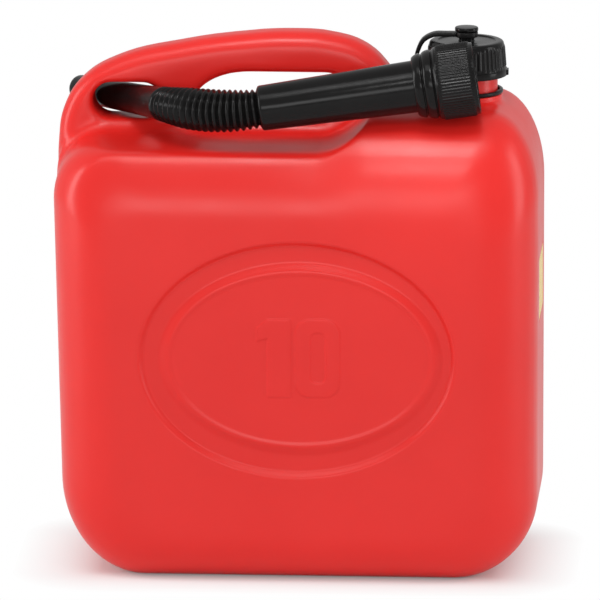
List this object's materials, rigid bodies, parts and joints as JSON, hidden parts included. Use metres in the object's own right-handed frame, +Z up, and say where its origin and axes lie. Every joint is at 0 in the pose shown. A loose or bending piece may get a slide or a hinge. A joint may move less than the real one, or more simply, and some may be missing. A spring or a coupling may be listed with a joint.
{
  "type": "fuel can",
  "caption": "blow-moulded fuel can with a moulded handle, a screw cap on a tether and a flexible ribbed spout parked through a slot in the handle",
  "frame": {"origin": "middle of the can's footprint, on the surface it stands on", "axes": "+Z up, +X to the right towards the neck, -Y towards the front face where the spout lies"},
  "size_m": [0.298, 0.16, 0.3373],
  "materials": {
    "red_plastic": "satin blow-moulded polyethylene",
    "black_plastic": "semi-gloss injection-moulded polyethylene",
    "tether_plastic": "soft satin",
    "seal_rubber": "matt",
    "label_film": "printed film, left plain"
  },
  "bodies": {
    "can": {"can_body": "red_plastic", "tether_band": "tether_plastic", "side_label": "label_film"},
    "eye": {"tether_eye": "tether_plastic"},
    "cap": {"neck_cap": "black_plastic", "cap_gasket": "seal_rubber"},
    "spout": {"spout_tube": "black_plastic", "spout_gasket": "seal_rubber"},
    "nut": {"spout_nut": "black_plastic"}
  },
  "joints": [
    {"name": "cap_rise", "type": "slide", "parent": "can", "child": "eye", "axis": [0, 0, 1], "range_m": [0, 0.009], "deforming": ["tether_band"]},
    {"name": "cap_turn", "type": "hinge", "parent": "eye", "child": "cap", "pos_m": [0.1025, 0, 0.315], "axis": [0, 0, 1], "range_deg": [0, 720]},
    {"name": "spout_pull", "type": "slide", "parent": "can", "child": "spout", "axis": [0.5721, -0.817, 0.0718], "range_m": [0, 0.1]},
    {"name": "nut_turn", "type": "hinge", "parent": "spout", "child": "nut", "pos_m": [0.0735, -0.0551, 0.30839], "axis": [0.9882, 0.0492, 0.1451], "continuous": true}
  ],
  "couplings": [
    {"joint": "cap_rise", "follows": "cap_turn", "m_per_rad": 0.000716}
  ]
}
